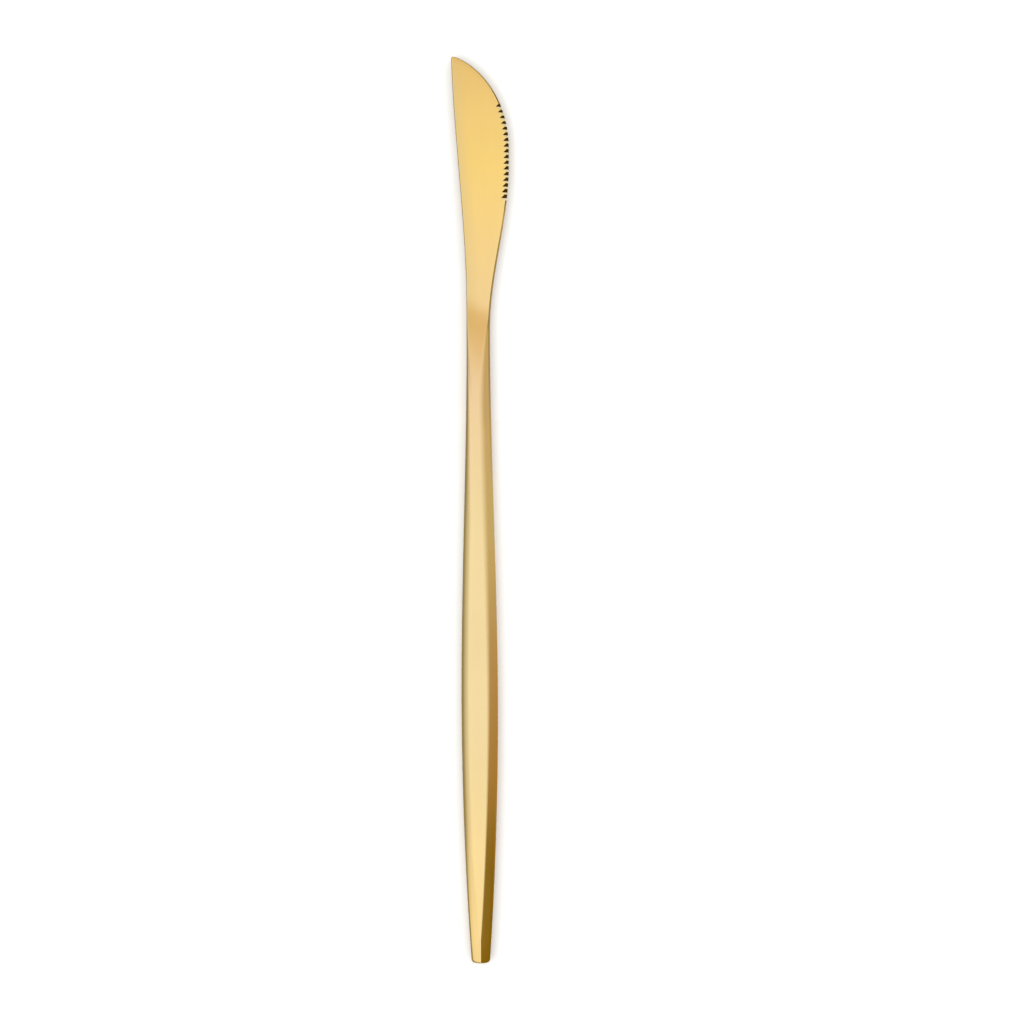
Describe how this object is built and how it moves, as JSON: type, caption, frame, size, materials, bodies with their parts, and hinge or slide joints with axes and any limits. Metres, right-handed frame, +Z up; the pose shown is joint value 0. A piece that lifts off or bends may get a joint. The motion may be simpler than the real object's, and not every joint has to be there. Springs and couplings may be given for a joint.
{
  "type": "steak knife",
  "caption": "Slim table steak knife, all metal with a gold finish: pointed blade with fine ground teeth near the tip, narrow neck and a faceted hollow handle that tapers to its end.",
  "frame": {"origin": "on the handle's axis, halfway along the knife, on the flat face of the handle that the knife rests on", "axes": "+Y along the handle's axis towards the blade's tip, +X towards the cutting edge, +Z up, square to the blade's faces"},
  "size_m": [0.0146, 0.23, 0.0046],
  "materials": {
    "blade_steel": "stainless steel with a gold vapour-deposited coat, fine satin",
    "handle_steel": "stainless steel with a gold vapour-deposited coat, fine satin, paler than the blade",
    "braze": "brazing alloy, as it sets",
    "cement": "cast cutlery cement, matt"
  },
  "bodies": {
    "root": {"blade": "blade_steel", "handle_shell_front": "handle_steel", "handle_shell_rear": "handle_steel", "seam_braze": "braze", "neck_braze": "braze", "tang_cement": "cement"}
  },
  "joints": []
}
